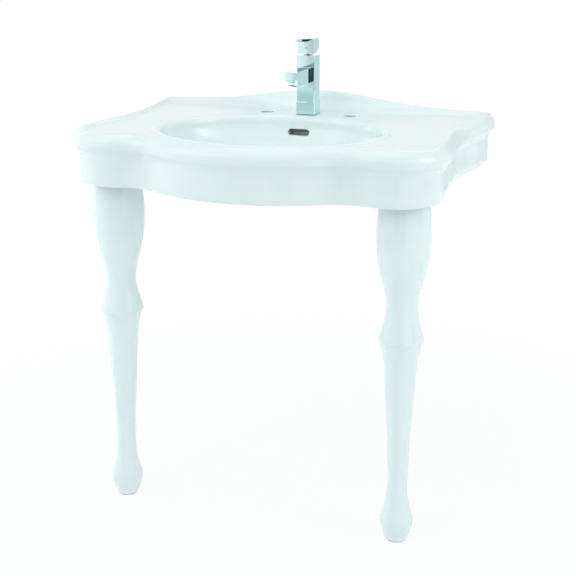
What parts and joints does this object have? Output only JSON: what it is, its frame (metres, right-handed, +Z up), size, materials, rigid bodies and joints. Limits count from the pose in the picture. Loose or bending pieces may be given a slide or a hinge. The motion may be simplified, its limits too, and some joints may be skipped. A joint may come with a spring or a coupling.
{
  "type": "console sink with legs",
  "caption": "Console sink: bowed china basin with rolled rim and oval bowl on turned legs, with a square lever mixer and a push-open waste.",
  "frame": {"origin": "midway between the two wall bolt holes, on the wall face, 784 mm above the floor", "axes": "+X to the right seen from the front, +Y into the wall, +Z up"},
  "size_m": [0.838, 0.629, 1.0335],
  "materials": {
    "china": "glossy white glaze with a faint cool tint",
    "leg_china": "glossy white glaze with a faint cool tint",
    "chrome": "polished",
    "steel": "zinc plated",
    "brass": "turned",
    "rubber": "matte",
    "cartridge_plastic": "moulded",
    "pad_plastic": "moulded",
    "aerator_plastic": "moulded",
    "index_plastic": "glossy"
  },
  "bodies": {
    "sink": {"basin": "china", "leg_left": "leg_china", "leg_right": "leg_china", "leg_cushion_left": "rubber", "leg_cushion_right": "rubber", "leg_ferrule_left": "brass", "leg_ferrule_right": "brass", "leg_stud_left": "steel", "leg_stud_right": "steel", "leg_locknut_left": "steel", "leg_locknut_right": "steel", "foot_pad_left": "pad_plastic", "foot_pad_right": "pad_plastic", "tap_body": "chrome", "tap_gasket": "rubber", "trim_plate": "chrome", "cartridge": "cartridge_plastic", "cartridge_nut": "brass", "aerator_housing": "chrome", "aerator_insert": "aerator_plastic", "aerator_washer": "rubber", "tap_stud": "steel", "horseshoe_gasket": "rubber", "horseshoe_washer": "steel", "tap_nut": "brass", "waste_body": "chrome", "waste_top_seal": "rubber", "waste_bottom_seal": "rubber", "waste_backnut": "brass"},
    "mixer_turret": {"turret": "cartridge_plastic", "tilt_pin": "steel"},
    "mixer_handle": {"lever_stem": "steel", "handle": "chrome", "grub_screw": "steel", "index_plug": "index_plastic"},
    "push_plug": {"waste_plug": "chrome", "plug_seal": "rubber", "plug_clicker": "cartridge_plastic"}
  },
  "joints": [
    {"name": "temperature_swivel", "type": "hinge", "parent": "sink", "child": "mixer_turret", "pos_m": [0, -0.105, 0.189], "axis": [0, 0, 1], "range_deg": [-50, 50]},
    {"name": "flow_tilt", "type": "hinge", "parent": "mixer_turret", "child": "mixer_handle", "pos_m": [0, -0.105, 0.189], "axis": [-1, 0, 0], "range_deg": [0, 24]},
    {"name": "plug_lift", "type": "slide", "parent": "sink", "child": "push_plug", "axis": [0, 0, 1], "range_m": [0, 0.008]}
  ]
}
